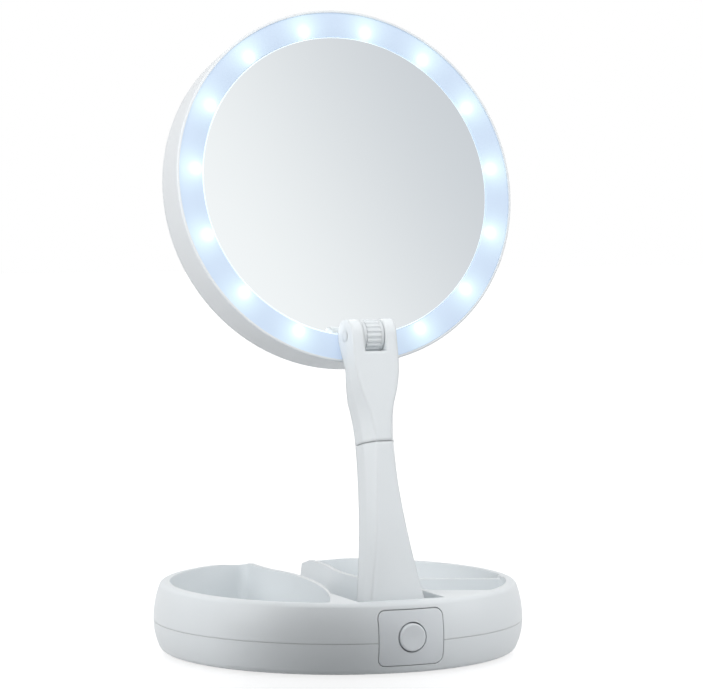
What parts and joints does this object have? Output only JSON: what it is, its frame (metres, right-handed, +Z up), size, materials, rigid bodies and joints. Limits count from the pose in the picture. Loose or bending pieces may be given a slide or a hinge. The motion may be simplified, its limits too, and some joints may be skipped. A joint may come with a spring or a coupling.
{
  "type": "folding lighted makeup mirror",
  "caption": "Free-standing round makeup mirror with a lit ring round the glass, on a tilting, swivelling stem that folds into a round base with compartments.",
  "frame": {"origin": "on the table, under the middle of the round base", "axes": "+X to the user's right, -Y towards the user, +Z up"},
  "size_m": [0.18, 0.1806, 0.3113],
  "materials": {
    "white_plastic": "satin gloss, cool white",
    "panel_plastic": "satin gloss, cool white",
    "button_plastic": "satin, pale grey",
    "hinge_plastic": "satin gloss, cool white",
    "painted_zinc": "satin white paint on a ridged wheel",
    "frosted_plastic": "frosted, lit from behind",
    "silvered_glass": "silvered, polished",
    "carrier_plastic": "matte white",
    "light_board_laminate": "white solder mask",
    "light_chip_resin": "clear resin over a white case",
    "control_board_laminate": "green solder mask",
    "switch_plastic": "black moulding",
    "cell_sleeve": "plain grey sleeve",
    "contact_steel": "nickel plated",
    "foot_rubber": "matte grey",
    "screw_steel": "zinc plated",
    "pin_steel": "ground",
    "washer_nylon": "natural nylon",
    "lead_insulation": "smooth insulation"
  },
  "bodies": {
    "base": {"base_lower_shell": "white_plastic", "base_upper_shell": "white_plastic", "switch_panel": "panel_plastic", "control_board": "control_board_laminate", "push_switch": "switch_plastic", "battery_cells": "cell_sleeve", "battery_contacts": "contact_steel", "rubber_feet": "foot_rubber", "base_screws": "screw_steel", "hinge_bracket_left": "hinge_plastic", "hinge_bracket_right": "hinge_plastic", "fold_pin": "pin_steel", "fold_washers": "washer_nylon"},
    "power_button": {"power_button": "button_plastic"},
    "battery_door": {"battery_door": "white_plastic"},
    "lower_stem": {"lower_stem": "white_plastic", "lower_stem_cover": "white_plastic", "stem_cover_screw": "screw_steel", "lower_stem_lead": "lead_insulation", "swivel_washer": "washer_nylon"},
    "upper_stem": {"upper_stem": "white_plastic", "swivel_spigot": "pin_steel", "swivel_clip": "contact_steel", "upper_stem_lead": "lead_insulation"},
    "tilt_axle": {"tilt_axle": "pin_steel", "tilt_wheel": "painted_zinc"},
    "head": {"head_housing": "white_plastic", "light_ring": "frosted_plastic", "mirror_glass": "silvered_glass", "mirror_carrier": "carrier_plastic", "light_board": "light_board_laminate", "light_chips": "light_chip_resin", "head_back_ring": "white_plastic", "magnifying_mirror": "silvered_glass", "mirror_yoke": "hinge_plastic", "yoke_screws": "screw_steel"}
  },
  "joints": [
    {"name": "stem_fold", "type": "hinge", "parent": "base", "child": "lower_stem", "pos_m": [0, -0.0685, 0.015], "axis": [-1, 0, 0], "range_deg": [0, 73.18]},
    {"name": "stem_swivel", "type": "hinge", "parent": "lower_stem", "child": "upper_stem", "pos_m": [0, -0.04859, 0.10482], "axis": [0, 0.2164, 0.9763], "range_deg": [-180, 0]},
    {"name": "axle_turn", "type": "hinge", "parent": "upper_stem", "child": "tilt_axle", "pos_m": [0, -0.03744, 0.1551], "axis": [1, 0, 0], "range_deg": [0, 160.7]},
    {"name": "mirror_tilt", "type": "hinge", "parent": "tilt_axle", "child": "head", "pos_m": [0, -0.03744, 0.1551], "axis": [1, 0, 0], "range_deg": [-20, 15]},
    {"name": "button_press", "type": "slide", "parent": "base", "child": "power_button", "axis": [0, 1, 0], "range_m": [0, 0.0009], "stiffness_N_per_m": 1500},
    {"name": "door_lift", "type": "slide", "parent": "base", "child": "battery_door", "axis": [0, 0, -1], "range_m": [0, 0.02]}
  ],
  "couplings": [
    {"joint": "axle_turn", "follows": "stem_fold", "ratio": 2.1957}
  ]
}
